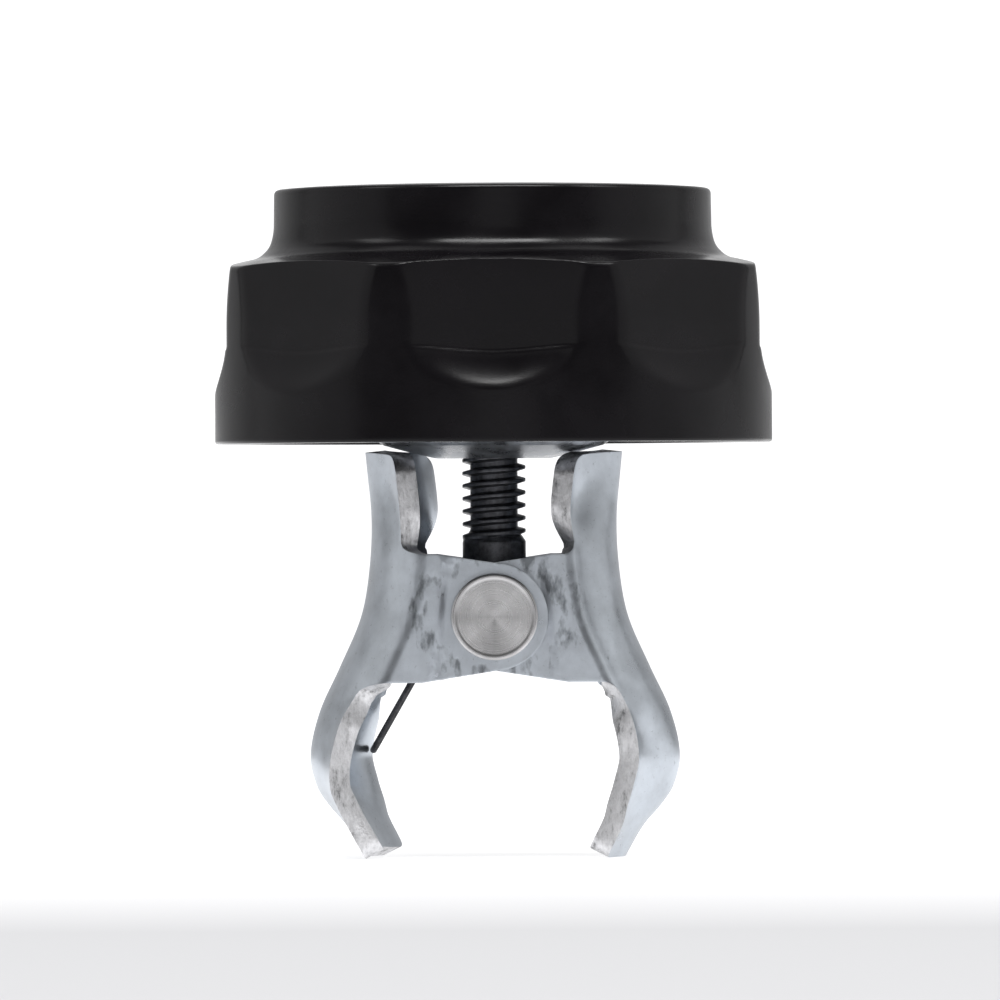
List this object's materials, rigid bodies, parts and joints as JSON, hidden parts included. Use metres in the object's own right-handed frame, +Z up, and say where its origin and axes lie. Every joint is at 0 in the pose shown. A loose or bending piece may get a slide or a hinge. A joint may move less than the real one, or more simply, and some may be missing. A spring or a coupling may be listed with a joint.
{
  "type": "bar clamp",
  "caption": "Claw clamp for a bar: two pressed steel jaws on a rivet, closed by turning a faceted hand knob on a threaded eye stud.",
  "frame": {"origin": "centre of the bar that the jaws grip, on the stud's axis", "axes": "+Z up along the stud towards the knob, +X across the two jaws, +Y along the gripped bar and the rivet"},
  "size_m": [0.088, 0.088, 0.106],
  "materials": {
    "black_moulding": "satin black moulded plastic",
    "zinc_plate": "bright zinc plating",
    "bright_steel": "turned steel",
    "black_oxide": "black oxide",
    "spring_steel": "dark spring wire",
    "nylon": "natural nylon"
  },
  "bodies": {
    "hub": {"eye_stud": "black_oxide", "stop_clip": "spring_steel", "pivot_rivet": "bright_steel", "tail_washer": "zinc_plate", "spacer_front": "zinc_plate", "spring_sleeve": "zinc_plate", "torsion_spring": "spring_steel"},
    "carriage": {"thrust_washer": "zinc_plate"},
    "knob": {"knob_body": "black_moulding", "knob_cap": "black_moulding", "knob_nut": "zinc_plate", "nut_retainer": "spring_steel", "slip_washer": "nylon"},
    "jaw_left": {"jaw_left": "zinc_plate"},
    "jaw_right": {"jaw_right": "zinc_plate"}
  },
  "joints": [
    {"name": "knob_travel", "type": "slide", "parent": "hub", "child": "carriage", "axis": [0, 0, 1], "range_m": [-0.00355, 0.0018]},
    {"name": "knob_turn", "type": "hinge", "parent": "carriage", "child": "knob", "pos_m": [0, 0, 0.0493], "axis": [0, 0, 1], "range_deg": [-630, 315]},
    {"name": "jaw_left_swing", "type": "hinge", "parent": "hub", "child": "jaw_left", "pos_m": [0, 0, 0.022], "axis": [0, 1, 0], "range_deg": [-10.1, 5.1], "deforming": ["torsion_spring"]},
    {"name": "jaw_right_swing", "type": "hinge", "parent": "hub", "child": "jaw_right", "pos_m": [0, 0, 0.022], "axis": [0, 1, 0], "range_deg": [-5.1, 10.1], "deforming": ["torsion_spring"]}
  ],
  "couplings": [
    {"joint": "knob_travel", "follows": "knob_turn", "m_per_rad": 0.00031831},
    {"joint": "jaw_left_swing", "follows": "knob_turn", "ratio": 0.015915},
    {"joint": "jaw_right_swing", "follows": "knob_turn", "ratio": -0.015915}
  ]
}
